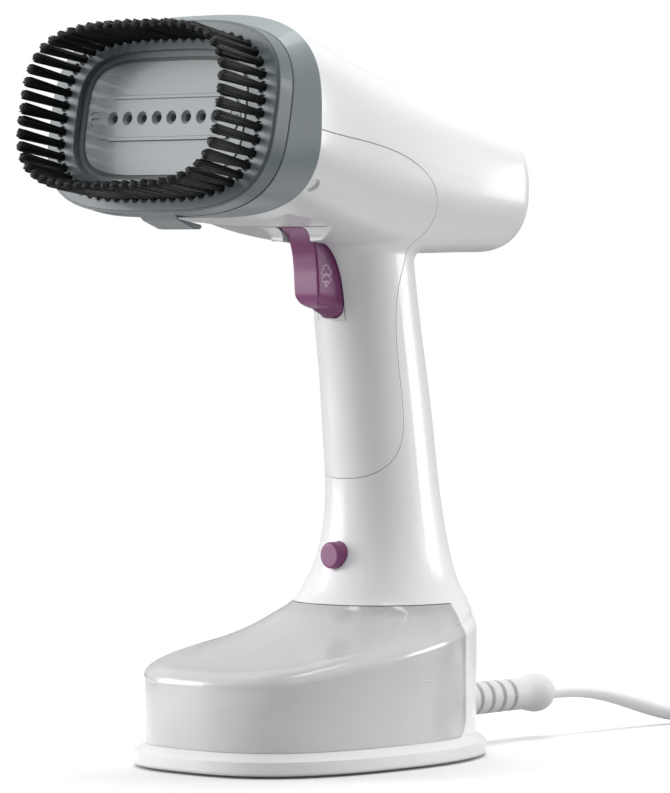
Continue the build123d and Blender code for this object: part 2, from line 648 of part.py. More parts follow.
def make_trigger():
    body = extrude(trigger_outline(), trigger_half_width, dir=(1, 0, 0), both=True)
    plan = [(-trigger_ridge, -20), (trigger_ridge, -20), (trigger_ridge, -4),
            (trigger_half_width, 8), (trigger_half_width, 20), (-trigger_half_width, 20),
            (-trigger_half_width, 8), (-trigger_ridge, -4)]
    body = body & (Pos(0, 0, 170) * extrude(make_face(Polyline(*plan, close=True)), 60))
    low, high = trigger_front[-1][1], trigger_rear[2][1] + 1
    front_view = block(-trigger_half_width, trigger_half_width, -20, 20, low, high)
    lower = front_view.edges().filter_by(Axis.Y).sort_by(Axis.Z)[:2]
    body = body & fillet(lower, trigger_corner)
    hollow = side_profile([(2.0, 182.0), (20.0, 182.0), (20.0, 212.5), (2.0, 212.5)],
                          trigger_half_width - 2.2)
    body = body - hollow
    arm = side_profile([(0.0, 198.5), (plunger_y - 0.5, 197.4), (plunger_y - 0.5, 194.6),
                        (0.0, 193.5)], 2.0)
    body = body + arm
    slot = block(-5, 5, pivot_y - 4.2, pivot_y + 12, pivot_z - 4.2, pivot_z + 10)
    body = body - slot - bar_x(pivot_y, pivot_z, trigger_pin_radius + pin_play, -20, 20)
    parts["trigger"] = body
    reach = trigger_half_width + fit + 3.0
    parts["trigger_pin"] = bar_x(pivot_y, pivot_z, trigger_pin_radius, -reach, reach)
    spring = bar_x(pivot_y, pivot_z, 3.3, -4, 4)
    parts["trigger_spring"] = spring - bar_x(pivot_y, pivot_z, 2.1, -5, 5)
    switch = block(-3.2, 3.2, plunger_y + 3.0, plunger_y + 13.0, 186, 206)
    hole = bar_y(0, plunger_z, plunger_radius + pin_play, plunger_y, plunger_y + 8)
    terminals = (block(-0.4, 0.4, plunger_y + 13, plunger_y + 18, 189, 192)
                 + block(-0.4, 0.4, plunger_y + 13, plunger_y + 18, 200, 203))
    parts["microswitch"] = switch - hole + terminals
    parts["switch_plunger"] = bar_y(0, plunger_z, plunger_radius, plunger_y, plunger_y + 5)


def make_shelf(inner):
    shelf = inner & block(-40, 40, plunger_y + 2, plunger_y + 18, 182.4, 185.6)
    shelf = shelf & foot_form(wall + 0.3)
    posts = (block(-3.2, 3.2, plunger_y + 14.5, plunger_y + 17.5, 185.6, 188))
    parts["switch_shelf"] = shelf + posts


def make_release():
    button = bar_y(0, button_z, button_radius, button_face, button_back - 3)
    front = button.faces().sort_by(Axis.Y)[0]
    button = fillet(front.edges(), 1.2)
    button = button + bar_y(0, button_z, 2.2, button_back - 3.1, button_back)
    button = button + bar_y(0, button_z, 3.4, button_back - 3, button_back - 1)
    parts["release_button"] = button
    arm_front = button_back + 0.8
    tooth_top = latch_z - 3.0
    lever = side_profile([(arm_front, button_z + 2), (arm_front, latch_z + 3.5),
                          (tooth_y - 1.5, latch_z + 1.0), (tooth_y - 1.5, tooth_top),
                          (latch_y + 3.2, tooth_top), (latch_y + 3.2, button_z + 2)], 4.0)
    lever = lever - block(-2.6, 2.6, latch_y - 3.6, latch_y + 8, latch_z - 5, latch_z + 3.8)
    lever = lever - bar_x(latch_y, latch_z, 1.5 + pin_play, -9, 9)
    parts["latch_lever"] = lever
    parts["latch_tooth"] = side_profile([(tooth_y - 1.5, tooth_top), (tooth_y - 1.5, tooth_tip),
                                         (tooth_y + 1.5, tooth_tip),
                                         (tooth_y + 2.0, tooth_top)], 4.0)
    parts["latch_pin"] = bar_x(latch_y, latch_z, 1.5, -8, 8)
    coil = bar_x(latch_y, latch_z, 2.9, -2.2, 2.2)
    parts["latch_spring"] = coil - bar_x(latch_y, latch_z, 1.9, -5, 5)


def make_electrics():
    board = block(4.0, 5.6, 28, 50, 94, 158)
    parts["control_board"] = board
    relay = block(5.6, 14.0, 30, 42, 120, 138)
    capacitor = bar_x(38, 108, 5.0, 5.6, 13.5)
    triac = block(5.6, 9.0, 33, 43, 146, 155)
    parts["board_components"] = Compound([relay, capacitor, triac])
    parts["lamp_lens"] = lamp_cylinder(lamp_radius - 0.05, -wall, -lamp_sink)
    # cord anchorage inside the spine
    clamp = block(-11, 11, 58, 66, 9.5, 15.2) + block(-11, 11, 58, 66, 22.0, 25.5)
    clamp = clamp + block(-11, -4.5, 58, 66, 15.0, 22.2) + block(4.5, 11, 58, 66, 15.0, 22.2)
    clamp = clamp - bar_y(0, relief_z, cord_diameter / 2 + 0.1, 50, 70)
    parts["cord_clamp"] = clamp
    parts["inner_cord"] = bar_y(0, relief_z, cord_diameter / 2, 55.5, 70.0)
    wires = []
    for x in (-1.5, 1.5):
        route = [(x, 55.5, relief_z), (x, 53.0, relief_z), (x + 3, 52.5, 24), (x + 5, 57, 44),
                 (x + 5, 56, 66), (x + 6, 50, 84), (x + 6, 47, 93.8)]
        wires.append(tube(route, 1.1))
    parts["lead_wires"] = Compound(wires)


def make_cord():
    root = bar_y(0, relief_z, relief_root_radius - 0.1, 73.0, 80.0)
    root = root + bar_y(0, relief_z, cord_diameter / 2, 70.0, 73.0)
    collar = bar_y(0, relief_z, 8.0, 78.6, 81.6)
    rings = [(81.6, 7.3), (90.0, 7.0), (124.0, 6.6), (128.0, 7.2), (132.0, 8.0), (136.5, 7.8),
             (139.5, 6.4), (relief_end, 4.2)]
    sections = []
    for y, radius in rings[:3]:
        sections.append(Plane(origin=(0, y, relief_z), z_dir=(0, 1, 0)) * Circle(radius))
    sleeve = loft(sections, ruled=True)
    bell = loft([Plane(origin=(0, y, relief_z), z_dir=(0, 1, 0)) * Circle(radius)
                 for y, radius in rings[2:]])
    relief = root + collar + sleeve + bell
    groove_pitch = 7.0
    for index in range(5):
        y = 86.0 + groove_pitch * index
        ring = bar_y(0, relief_z, 10, y, y + 2.2) - bar_y(0, relief_z, 5.0, y - 1, y + 4)
        relief = relief - ring
    parts["strain_relief"] = relief
    print("cord radii", [round(r, 1) for r in bend_radii(cord_route)])
    print("lead radii", [round(r, 1) for r in bend_radii(lead_route)])
    parts["mains_cord"] = tube(cord_route, cord_diameter / 2)
    parts["plug_lead"] = tube(lead_route, cord_diameter / 2)
    for name, route in (("mains_cord", cord_route), ("plug_lead", lead_route)):
        length = FilletPolyline(*route, radius=bend_radii(route)).length
        section = math.pi * cord_diameter ** 2 / 4
        print(name, "length", round(length, 1), "volume over section times length",
              round(parts[name].volume / (section * length), 4))
    x, y = coil_centre
    half = coil_columns * cord_diameter / 2
    height = coil_layers * cord_diameter
    ring = bar_z(x, y, coil_radius + half, 0, height) - bar_z(x, y, coil_radius - half, -1,
                                                              height + 1)
    ring = fillet(ring.edges().filter_by(GeomType.CIRCLE), cord_diameter / 2 - 0.2)
    tie_y = y + coil_radius
    band = block(x - 5, x + 5, tie_y - half - 1.2, tie_y + half + 1.2, 0, height + 1.2)
    hole = block(x - 6, x + 6, tie_y - half, tie_y + half, 1.0, height)
    band = fillet(band.edges().filter_by(Axis.X), 3.0) - fillet(hole.edges().filter_by(Axis.X), 2.4)
    parts["cord_coil"] = ring - band
    parts["coil_tie"] = band
    end = lead_route[-1]
    grip = end[1] - plug_length
    body = block(end[0] - plug_width / 2, end[0] + plug_width / 2, grip, grip + 26, 0, plug_height)
    body = fillet(body.edges().filter_by(Axis.Y), 6.0)
    neck = loft([Plane(origin=(end[0], grip + 26, end[2]), z_dir=(0, 1, 0)) * Circle(7.5),
                 Plane(origin=end, z_dir=(0, 1, 0)) * Circle(4.6)])
    parts["plug_body"] = body + neck
    pins = []
    for side in (-1, 1):
        x = end[0] + side * plug_pin_pitch / 2
        pin = bar_y(x, end[2], plug_pin_radius, grip - plug_pin_length, grip)
        pins.append(pin)
    parts["plug_pins"] = Compound(pins)


def main():
    os.makedirs("parts", exist_ok=True)
    inner, cover, rear = make_housing()
    cover, rear = add_housing_details(inner, cover, rear)
    parts["front_cover"] = cover
    parts["rear_shell"] = rear
    make_base()
    make_tank()
    plate_rear = make_head()
    inlet_back = make_boiler(plate_rear)
    make_brush()
    make_pump(inlet_back)
    make_trigger()
    make_shelf(inner)
    make_release()
    make_electrics()
    make_cord()
    for name, shape in parts.items():
        export_step(shape, f"parts/{name}.step")


if __name__ == "__main__":
    main()
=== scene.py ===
"""The looks of a handheld garment steamer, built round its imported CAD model."""

import json
import math

import bpy
import numpy as np
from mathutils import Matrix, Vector


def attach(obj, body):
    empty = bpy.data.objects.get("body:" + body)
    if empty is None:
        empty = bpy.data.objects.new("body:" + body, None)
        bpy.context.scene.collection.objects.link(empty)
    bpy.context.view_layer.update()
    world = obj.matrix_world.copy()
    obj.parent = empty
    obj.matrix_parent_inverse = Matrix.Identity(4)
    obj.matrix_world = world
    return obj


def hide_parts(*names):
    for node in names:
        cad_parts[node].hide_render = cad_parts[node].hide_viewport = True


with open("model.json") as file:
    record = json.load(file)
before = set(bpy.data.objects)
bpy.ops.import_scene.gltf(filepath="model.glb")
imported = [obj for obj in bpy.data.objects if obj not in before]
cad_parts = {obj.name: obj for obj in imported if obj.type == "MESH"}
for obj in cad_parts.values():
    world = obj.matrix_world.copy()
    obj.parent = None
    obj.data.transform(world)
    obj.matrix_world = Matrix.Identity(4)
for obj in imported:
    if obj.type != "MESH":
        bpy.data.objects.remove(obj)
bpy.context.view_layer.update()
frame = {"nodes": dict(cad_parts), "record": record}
NODES = frame["nodes"]

# steam face: the plane of the plate and the brush, which leans back from the vertical
TILT = math.radians(10.4)
FACE_ORIGIN = np.array([0.0, -0.083, 0.256])
FACE_UP = np.array([0.0, math.sin(TILT), math.cos(TILT)])
FACE_OUT = np.array([0.0, -math.cos(TILT), math.sin(TILT)])
FACE_RIGHT = np.array([1.0, 0.0, 0.0])


# ---------------------------------------------------------------- camera, floor and light
def make_camera():
    """A long lens that looks at the right front corner from a little over the middle.

    Azimuth is the turn to the right from square in front of the steam face. Aside is the
    viewpoint's shift to the right of the line through the origin.
    """
    azimuth, pitch = math.radians(44.0), math.radians(1.677)
    distance, height, aside = 1.9799, 0.2039, 0.0091
    right = Vector((math.cos(azimuth), math.sin(azimuth), 0))
    ahead = Vector((-math.sin(azimuth), math.cos(azimuth), 0))
    data = bpy.data.cameras.new("camera")
    data.lens = 224.7
    data.sensor_width = 36.0
    data.clip_start, data.clip_end = 0.05, 50
    camera = bpy.data.objects.new("camera", data)
    bpy.context.scene.collection.objects.link(camera)
    camera.location = -ahead * distance + right * aside + Vector((0, 0, height))
    look = ahead * math.cos(pitch) - Vector((0, 0, math.sin(pitch)))
    camera.rotation_euler = look.to_track_quat("-Z", "Y").to_euler()
    bpy.context.scene.camera = camera


def softbox(name, place, target, size, power):
    """White rectangular lamp of the given size in metres and power in watts, aimed at target."""
    data = bpy.data.lights.new(name, "AREA")
    data.shape = "RECTANGLE"
    data.size, data.size_y = size
    data.energy = power
    lamp = bpy.data.objects.new(name, data)
    lamp.location = place
    lamp.rotation_euler = (Vector(target) - Vector(place)).to_track_quat("-Z", "Y").to_euler()
    bpy.context.scene.collection.objects.link(lamp)


def make_studio():
    """White surroundings that light from above, and softboxes to the left, above and behind."""
    scene = bpy.context.scene
    scene.view_settings.view_transform = "Standard"
    world = bpy.data.worlds.new("studio")
    world.use_nodes = True
    tree = world.node_tree
    add, link = tree.nodes.new, tree.links.new
    where, axes = add("ShaderNodeTexCoord"), add("ShaderNodeSeparateXYZ")
    ramp, path, pick = add("ShaderNodeValToRGB"), add("ShaderNodeLightPath"), add("ShaderNodeMix")
    lift = add("ShaderNodeMapRange")
    lift.inputs["From Min"].default_value = -1.0
    link(where.outputs["Generated"], axes.inputs[0])
    link(axes.outputs["Z"], lift.inputs["Value"])
    link(lift.outputs["Result"], ramp.inputs["Fac"])
    stops = ramp.color_ramp.elements
    stops[0].position, stops[0].color = 0.30, (0.04, 0.04, 0.042, 1)
    stops[1].position, stops[1].color = 0.80, (0.80, 0.805, 0.81, 1)
    level = stops.new(0.52)
    level.color = (0.37, 0.375, 0.38, 1)
    pick.data_type = "RGBA"
    pick.inputs["B"].default_value = (1, 1, 1, 1)
    link(path.outputs["Is Camera Ray"], pick.inputs["Factor"])
    link(ramp.outputs["Color"], pick.inputs["A"])
    link(pick.outputs["Result"], tree.nodes["Background"].inputs["Color"])
    scene.world = world
    make_floor()
    softbox("over", (-0.1, 0.12, 1.35), (0, 0, 0.1), (0.8, 0.8), 10.5)
    softbox("front_left", (-1.50, -1.10, 0.50), (0, -0.02, 0.17), (1.0, 1.2), 25)
    softbox("behind", (1.00, 1.50, 0.38), (0, 0.02, 0.16), (0.7, 0.8), 14.5)


def make_floor():
    """Round sheet of pale paper, clear beyond 0.55 m, that sends back little diffuse light.

    Share that is clear: the fade over the distance, and three fifths of the rest for the
    bounced diffuse light, so that the underside of the object stays in its own shade.
    """
    turn = np.arange(96) * 2 * np.pi / 96
    reach = np.array([0.0, 0.2, 0.4, 0.6])
    x, y = reach[:, None] * np.cos(turn), reach[:, None] * np.sin(turn)
    points = np.stack([x, y, np.full_like(x, -0.0002)], 2).reshape(-1, 3)
    look, shader, tree = principled("floor_paper")
    shader.inputs["Base Color"].default_value = (0.90, 0.90, 0.905, 1)
    shader.inputs["Roughness"].default_value = 0.7
    where, length = tree.nodes.new("ShaderNodeTexCoord"), tree.nodes.new("ShaderNodeVectorMath")
    fade, mix = tree.nodes.new("ShaderNodeMapRange"), tree.nodes.new("ShaderNodeMixShader")
    clear, path = tree.nodes.new("ShaderNodeBsdfTransparent"), tree.nodes.new("ShaderNodeLightPath")
    bounce, most = tree.nodes.new("ShaderNodeMath"), tree.nodes.new("ShaderNodeMath")
    length.operation, bounce.operation, most.operation = "LENGTH", "MULTIPLY", "MAXIMUM"
    bounce.inputs[1].default_value = 0.6
    fade.interpolation_type = "SMOOTHSTEP"
    fade.inputs["From Min"].default_value = 0.22
    fade.inputs["From Max"].default_value = 0.55
    tree.links.new(where.outputs["Object"], length.inputs[0])
    tree.links.new(length.outputs["Value"], fade.inputs["Value"])
    tree.links.new(path.outputs["Is Diffuse Ray"], bounce.inputs[0])
    tree.links.new(fade.outputs["Result"], most.inputs[0])
    tree.links.new(bounce.outputs[0], most.inputs[1])
    tree.links.new(most.outputs[0], mix.inputs["Fac"])
    tree.links.new(shader.outputs[0], mix.inputs[1])
    tree.links.new(clear.outputs[0], mix.inputs[2])
    tree.links.new(mix.outputs[0], tree.nodes["Material Output"].inputs["Surface"])
    floor = new_piece("floor", points, grid_faces(len(reach), len(turn)), look)


# ---------------------------------------------------------------- material helpers
def principled(name):
    """A new material, its Principled shader and its node tree."""
    look = bpy.data.materials.new(name)
    look.use_nodes = True
    return look, look.node_tree.nodes["Principled BSDF"], look.node_tree


def moulded_group():
    """Moulded surface: faint cloudy tone, uneven gloss and a fine grain, on Object coordinates."""
    group = bpy.data.node_groups.new("moulded_surface", "ShaderNodeTree")
    face = group.interface
    face.new_socket("Colour", in_out="INPUT", socket_type="NodeSocketColor")
    for name, value in (("Tone", 0.03), ("Gloss", 0.35), ("Unevenness", 0.06),
                        ("Grain Scale", 900.0), ("Grain Height", 0.02), ("Cloud Scale", 18.0)):
        socket = face.new_socket(name, in_out="INPUT", socket_type="NodeSocketFloat")
        socket.default_value = value
    face.new_socket("Colour", in_out="OUTPUT", socket_type="NodeSocketColor")
    face.new_socket("Roughness", in_out="OUTPUT", socket_type="NodeSocketFloat")
    face.new_socket("Height", in_out="OUTPUT", socket_type="NodeSocketFloat")
    add, link = group.nodes.new, group.links.new
    take, give = add("NodeGroupInput"), add("NodeGroupOutput")
    where = add("ShaderNodeTexCoord")
    cloud, grain = add("ShaderNodeTexNoise"), add("ShaderNodeTexNoise")
    for texture, scale, detail in ((cloud, "Cloud Scale", 4.0), (grain, "Grain Scale", 2.0)):
        link(where.outputs["Object"], texture.inputs["Vector"])
        link(take.outputs[scale], texture.inputs["Scale"])
        texture.inputs["Detail"].default_value = detail
    centred = add("ShaderNodeMath")
    centred.operation = "SUBTRACT"
    centred.inputs[1].default_value = 0.5
    link(cloud.outputs["Fac"], centred.inputs[0])
    tone, gloss = add("ShaderNodeMath"), add("ShaderNodeMath")
    for node, part in ((tone, "Tone"), (gloss, "Unevenness")):
        node.operation = "MULTIPLY"
        link(centred.outputs[0], node.inputs[0])
        link(take.outputs[part], node.inputs[1])
    bright = add("ShaderNodeMath")
    bright.operation = "ADD"
    bright.inputs[1].default_value = 1.0
    link(tone.outputs[0], bright.inputs[0])
    scaled = add("ShaderNodeVectorMath")
    scaled.operation = "SCALE"
    link(take.outputs["Colour"], scaled.inputs[0])
    link(bright.outputs[0], scaled.inputs["Scale"])
    rough = add("ShaderNodeMath")
    rough.operation = "ADD"
    link(take.outputs["Gloss"], rough.inputs[0])
    link(gloss.outputs[0], rough.inputs[1])
    height = add("ShaderNodeMath")
    height.operation = "MULTIPLY"
    link(grain.outputs["Fac"], height.inputs[0])
    link(take.outputs["Grain Height"], height.inputs[1])
    link(scaled.outputs[0], give.inputs["Colour"])
    link(rough.outputs[0], give.inputs["Roughness"])
    link(height.outputs[0], give.inputs["Height"])
    return group


MOULDED = moulded_group()


def moulded(name, colour, gloss, tone=0.03, uneven=0.06, grain=900.0, height=0.02, cloud=18.0,
            round_edges=0.0, **sockets):
    """A finish from the moulded surface group; round_edges softens edges by that radius, in metres."""
    look, shader, tree = principled(name)
    group = tree.nodes.new("ShaderNodeGroup")
    group.node_tree = MOULDED
    group.inputs["Colour"].default_value = (*colour, 1)
    for socket, value in (("Gloss", gloss), ("Tone", tone), ("Unevenness", uneven),
                          ("Grain Scale", grain), ("Grain Height", height),
                          ("Cloud Scale", cloud)):
        group.inputs[socket].default_value = value
    bump = tree.nodes.new("ShaderNodeBump")
    bump.inputs["Distance"].default_value = 0.001
    tree.links.new(group.outputs["Colour"], shader.inputs["Base Color"])
    tree.links.new(group.outputs["Roughness"], shader.inputs["Roughness"])
    tree.links.new(group.outputs["Height"], bump.inputs["Height"])
    tree.links.new(bump.outputs["Normal"], shader.inputs["Normal"])
    if round_edges:
        soft = tree.nodes.new("ShaderNodeBevel")
        soft.samples = 6
        soft.inputs["Radius"].default_value = round_edges
        tree.links.new(soft.outputs["Normal"], bump.inputs["Normal"])
    for socket, value in sockets.items():
        shader.inputs[socket.replace("_", " ")].default_value = value
    return look


def make_finishes():
    """One finish for each material slot of the record, and the clear tank's own."""
    white = dict(round_edges=0.0005, IOR=1.5, Coat_Weight=0.25, Coat_Roughness=0.12)
    looks = {
        "white_housing": moulded("white_gloss_plastic", (0.84, 0.845, 0.85), 0.34, **white),
        "rubber_pad": moulded("soft_rubber", (0.20, 0.20, 0.21), 0.75, height=0.10),
        "screws": moulded("zinc_screw", (0.62, 0.62, 0.60), 0.32, grain=300.0, Metallic=1.0),
        "head_grey": moulded("head_grey_plastic", (0.215, 0.25, 0.26), 0.42, tone=0.05,
                             round_edges=0.0006, Coat_Weight=0.15),
        "brush_grey": moulded("brush_grey_plastic", (0.14, 0.17, 0.18), 0.42, tone=0.05,
                              round_edges=0.0008, Coat_Weight=0.1),
        "plate_grey": moulded("coated_steam_plate", (0.22, 0.255, 0.265), 0.36, tone=0.06,
                              grain=1500.0, height=0.03, round_edges=0.0005, Coat_Weight=0.1),
        "bristles": moulded("black_bristle", (0.006, 0.006, 0.0065), 0.55, tone=0.3,
                            grain=2500.0, height=0.2),
        "silicone": moulded("silicone_seal", (0.10, 0.11, 0.115), 0.55, height=0.05),
        "boiler_metal": moulded("cast_aluminium", (0.66, 0.67, 0.68), 0.48, grain=500.0,
                                height=0.25, Metallic=1.0),
        "element_steel": moulded("element_steel", (0.55, 0.54, 0.52), 0.3, Metallic=1.0),
        "brass": moulded("turned_brass", (0.72, 0.53, 0.24), 0.28, Metallic=1.0),
        "thermal": moulded("thermal_part", (0.75, 0.72, 0.66), 0.5),
        "inner_plastic": moulded("inner_plastic", (0.55, 0.56, 0.57), 0.5),
        "black_plastic": moulded("black_plastic", (0.02, 0.02, 0.022), 0.42, grain=700.0,
                                 height=0.06),
        "board": moulded("circuit_board", (0.03, 0.16, 0.07), 0.4, tone=0.3, cloud=300.0),
        "tank_white": moulded("tank_floor_plastic", (0.78, 0.785, 0.79), 0.4),
        "purple": moulded("purple_gloss", (0.215, 0.040, 0.155), 0.42, tone=0.06,
                          round_edges=0.0005, Coat_Weight=0.2, Coat_Roughness=0.25),
        "lamp": moulded("lamp_lens", (0.80, 0.81, 0.80), 0.15, Coat_Weight=0.5),
        "cord_white": moulded("cord_sheath", (0.86, 0.865, 0.87), 0.46, grain=1400.0,
                              height=0.04),
        "tie": moulded("tie_band", (0.10, 0.10, 0.105), 0.6, grain=1200.0, height=0.25),
        "plug_metal": moulded("nickel_pin", (0.72, 0.70, 0.66), 0.2, Metallic=1.0),
    }
    tank = moulded("smoky_clear_plastic", (0.94, 0.945, 0.95), 0.16, tone=0.02, uneven=0.03,
                   height=0.01, IOR=1.46, Transmission_Weight=0.52, Coat_Weight=0.3)
    looks["tank_clear"] = tank
    looks["strain_relief"] = moulded("relief_rubber", (0.66, 0.66, 0.655), 0.55, height=0.06,
                                     round_edges=0.0004)
    looks["plate_screws"] = moulded("coated_screw", (0.25, 0.285, 0.295), 0.45)
    looks["mark"] = moulded("pale_print", (0.85, 0.62, 0.77), 0.5)
    return looks


def dress_nodes(looks):
    """Gives each CAD node its own finish if it has one, or its slot's."""
    for part in frame["record"]["subparts"]:
        mesh = NODES[part["node"]].data
        mesh.materials.clear()
        mesh.materials.append(looks.get(part["node"]) or looks[part["material_slot"]])


# ---------------------------------------------------------------- surface helpers
def grid_faces(rows, columns, close_rows=False, close_columns=True):
    """Quads of a grid whose point (r, c) has the number r * columns + c."""
    r = np.arange(rows if close_rows else rows - 1)
    c = np.arange(columns if close_columns else columns - 1)
    r, c = (a.ravel() for a in np.meshgrid(r, c, indexing="ij"))
    r2, c2 = (r + 1) % rows, (c + 1) % columns
    return np.stack([r * columns + c, r * columns + c2, r2 * columns + c2, r2 * columns + c], 1)


def new_piece(name, points, faces, look):
    """A mesh object at the origin from an (n, 3) array of points and a list or array of faces."""
    mesh = bpy.data.meshes.new(name)
    mesh.from_pydata(np.asarray(points, float).tolist(), [], [list(map(int, f)) for f in faces])
    mesh.validate()
    mesh.materials.append(look)
    mesh.shade_smooth()
    piece = bpy.data.objects.new(name, mesh)
    bpy.context.scene.collection.objects.link(piece)
    return piece


def face_points(x, up, out):
    """Points given along the steam face's right, up and outward directions, in metres."""
    x, up, out = np.broadcast_arrays(x, up, out)
    return (FACE_ORIGIN + x[..., None] * FACE_RIGHT + up[..., None] * FACE_UP
            + out[..., None] * FACE_OUT)


def superellipse(half_x, half_y, power, turn):
    """Point at each turn (radians) of |x/half_x|^power + |y/half_y|^power = 1."""
    c, s = np.cos(turn), np.sin(turn)
    reach = (np.abs(c) ** power + np.abs(s) ** power) ** (-1 / power)
    return half_x * reach * c, half_y * reach * s


def tube(points, radius, sides=6, closed=False):
    """Grid of a round tube of the given radius along a line of points; the rings face along it."""
    line = np.asarray(points, float)
    if closed:
        ahead = np.roll(line, -1, 0) - np.roll(line, 1, 0)
    else:
        ahead = np.gradient(line, axis=0)
    ahead /= np.linalg.norm(ahead, axis=1)[:, None]
    across = np.cross(ahead, np.where(np.abs(ahead[:, :1]) < 0.9, [[1.0, 0, 0]], [[0, 1.0, 0]]))
    across /= np.linalg.norm(across, axis=1)[:, None]
    over = np.cross(ahead, across)
    turn = np.arange(sides) * 2 * np.pi / sides
    ring = line[:, None] + radius * (np.cos(turn)[None, :, None] * across[:, None]
                                     + np.sin(turn)[None, :, None] * over[:, None])
    return ring.reshape(-1, 3), grid_faces(len(line), sides, close_rows=closed)


def join_grids(grids):
    """Points and faces of several (points, faces) grids as one."""
    start = np.cumsum([0] + [len(points) for points, _ in grids[:-1]])
    faces = [quads + first for (_, quads), first in zip(grids, start)]
    return np.concatenate([points for points, _ in grids]), np.concatenate(faces)


def repeat_faces(one, count, step):
    """The faces of one grid again for each of count grids that hold step points each."""
    return (one[None] + (np.arange(count) * step)[:, None, None]).reshape(-1, 4)


# ---------------------------------------------------------------- mains cord
CORD_DIAMETER = 0.0064
CORD_ROUTE = [(0, 0.141, 0.0187), (0, 0.160, 0.0187), (0.0005, 0.180, 0.0152),
              (0.001, 0.199, 0.0096), (0.0025, 0.217, 0.0046), (0.005, 0.232, 0.0032)]
COIL_CENTRE = (0.050, 0.250)
LEAD_ROUTE = [(0.0932, 0.231, 0.0204), (0.0955, 0.212, 0.0146), (0.0978, 0.195, 0.0096),
              (0.099, 0.180, 0.0080)]
# radius of each turn of the coil, from the floor up: out, middle, in, and back out
COIL_RADII = [0.0424, 0.036, 0.0296, 0.0296, 0.036, 0.0424, 0.0424, 0.036, 0.0296, 0.036, 0.0424]
COIL_LAYERS = [0, 0, 0, 1, 1, 1, 2, 2, 2, 3, 3]


def coil_points(steps=16):
    """Ten and a half clockwise turns; radius and height pass from one turn to the next."""
    turns = 10.5
    at = np.arange(int(turns * steps) + 1) / steps
    middle = np.arange(len(COIL_RADII)) + 0.5
    radius = np.interp(at, middle, COIL_RADII)
    layer = np.interp(at, middle, COIL_LAYERS)
    spread = 1 / math.cos(math.pi / steps)
    angle = math.pi - 2 * math.pi * at
    x = COIL_CENTRE[0] + radius * spread * np.cos(angle)
    y = COIL_CENTRE[1] + radius * spread * np.sin(angle)
    z = CORD_DIAMETER * (0.5 + layer)
    return list(zip(x, y, z))


def spline_length(obj):
    """Length of a curve's line, from its points with no bevel."""
    data = obj.data.copy()
    data.bevel_depth = 0
    bare = bpy.data.objects.new("bare_line", data)
    bpy.context.scene.collection.objects.link(bare)
    bpy.context.view_layer.update()
    line = bpy.data.meshes.new_from_object(bare.evaluated_get(
        bpy.context.evaluated_depsgraph_get()))
    points = np.array([v.co for v in line.vertices])
    bpy.data.objects.remove(bare)
    bpy.data.curves.remove(data)
    bpy.data.meshes.remove(line)
    return float(np.linalg.norm(np.diff(points, axis=0), axis=1).sum())


def make_cord(look):
    """The whole mains lead: out of the strain relief, down, into the coil, and to the plug."""
    points = CORD_ROUTE + coil_points() + LEAD_ROUTE
    data = bpy.data.curves.new("mains_lead", "CURVE")
    data.dimensions = "3D"
    data.bevel_depth = CORD_DIAMETER / 2
    data.bevel_resolution = 5
    data.resolution_u = 4
    data.use_fill_caps = True
    line = data.splines.new("NURBS")
    line.points.add(len(points) - 1)
    for point, place in zip(line.points, points):
        point.co = (*place, 1)
    line.order_u = 3
    line.use_endpoint_u = True
    data.materials.append(look)
    cord = bpy.data.objects.new("mains_lead", data)
    bpy.context.scene.collection.objects.link(cord)
    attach(cord, "housing")
    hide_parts("mains_cord", "cord_coil", "plug_lead")
    spline_length(cord)


# ---------------------------------------------------------------- bristles
TUFTS = 58
TUFT_HALF = (0.0546, 0.0316)
TUFT_POWER = 3.4
TUFT_LENGTH = 0.024
TUFT_DEPTH = 0.0012             # sunk into the brush's frame
BRUSH_FRONT = 0.0015            # frame's front, out from the steam face's origin
FILAMENTS, FILAMENT_SIDES = 44, 5
FILAMENT_RADIUS = 0.00030
ROOT_RADIUS, TIP_RADIUS = 0.00125, 0.0020
GOLDEN_TURN = 2.39996           # radians from one filament to the next on the sunflower spiral
TIP_DOME = 0.0009               # outer filaments end this much lower than the middle one
TIP_GAP = 0.0002                # the middle one ends this far below the tuft's length
CUT_SPREAD = 0.0009             # uneven ends
TIP_WANDER = 0.00013            # sideways scatter of the tips
CORE_SIDES = 14


def tuft_places():
    """Evenly spaced points along the brush's superellipse."""
    turn = np.linspace(0, 2 * np.pi, 4001)
    x, y = superellipse(*TUFT_HALF, TUFT_POWER, turn)
    run = np.concatenate([[0], np.cumsum(np.hypot(np.diff(x), np.diff(y)))])
    at = np.arange(TUFTS) * run[-1] / TUFTS
    return np.interp(at, run, x), np.interp(at, run, y)


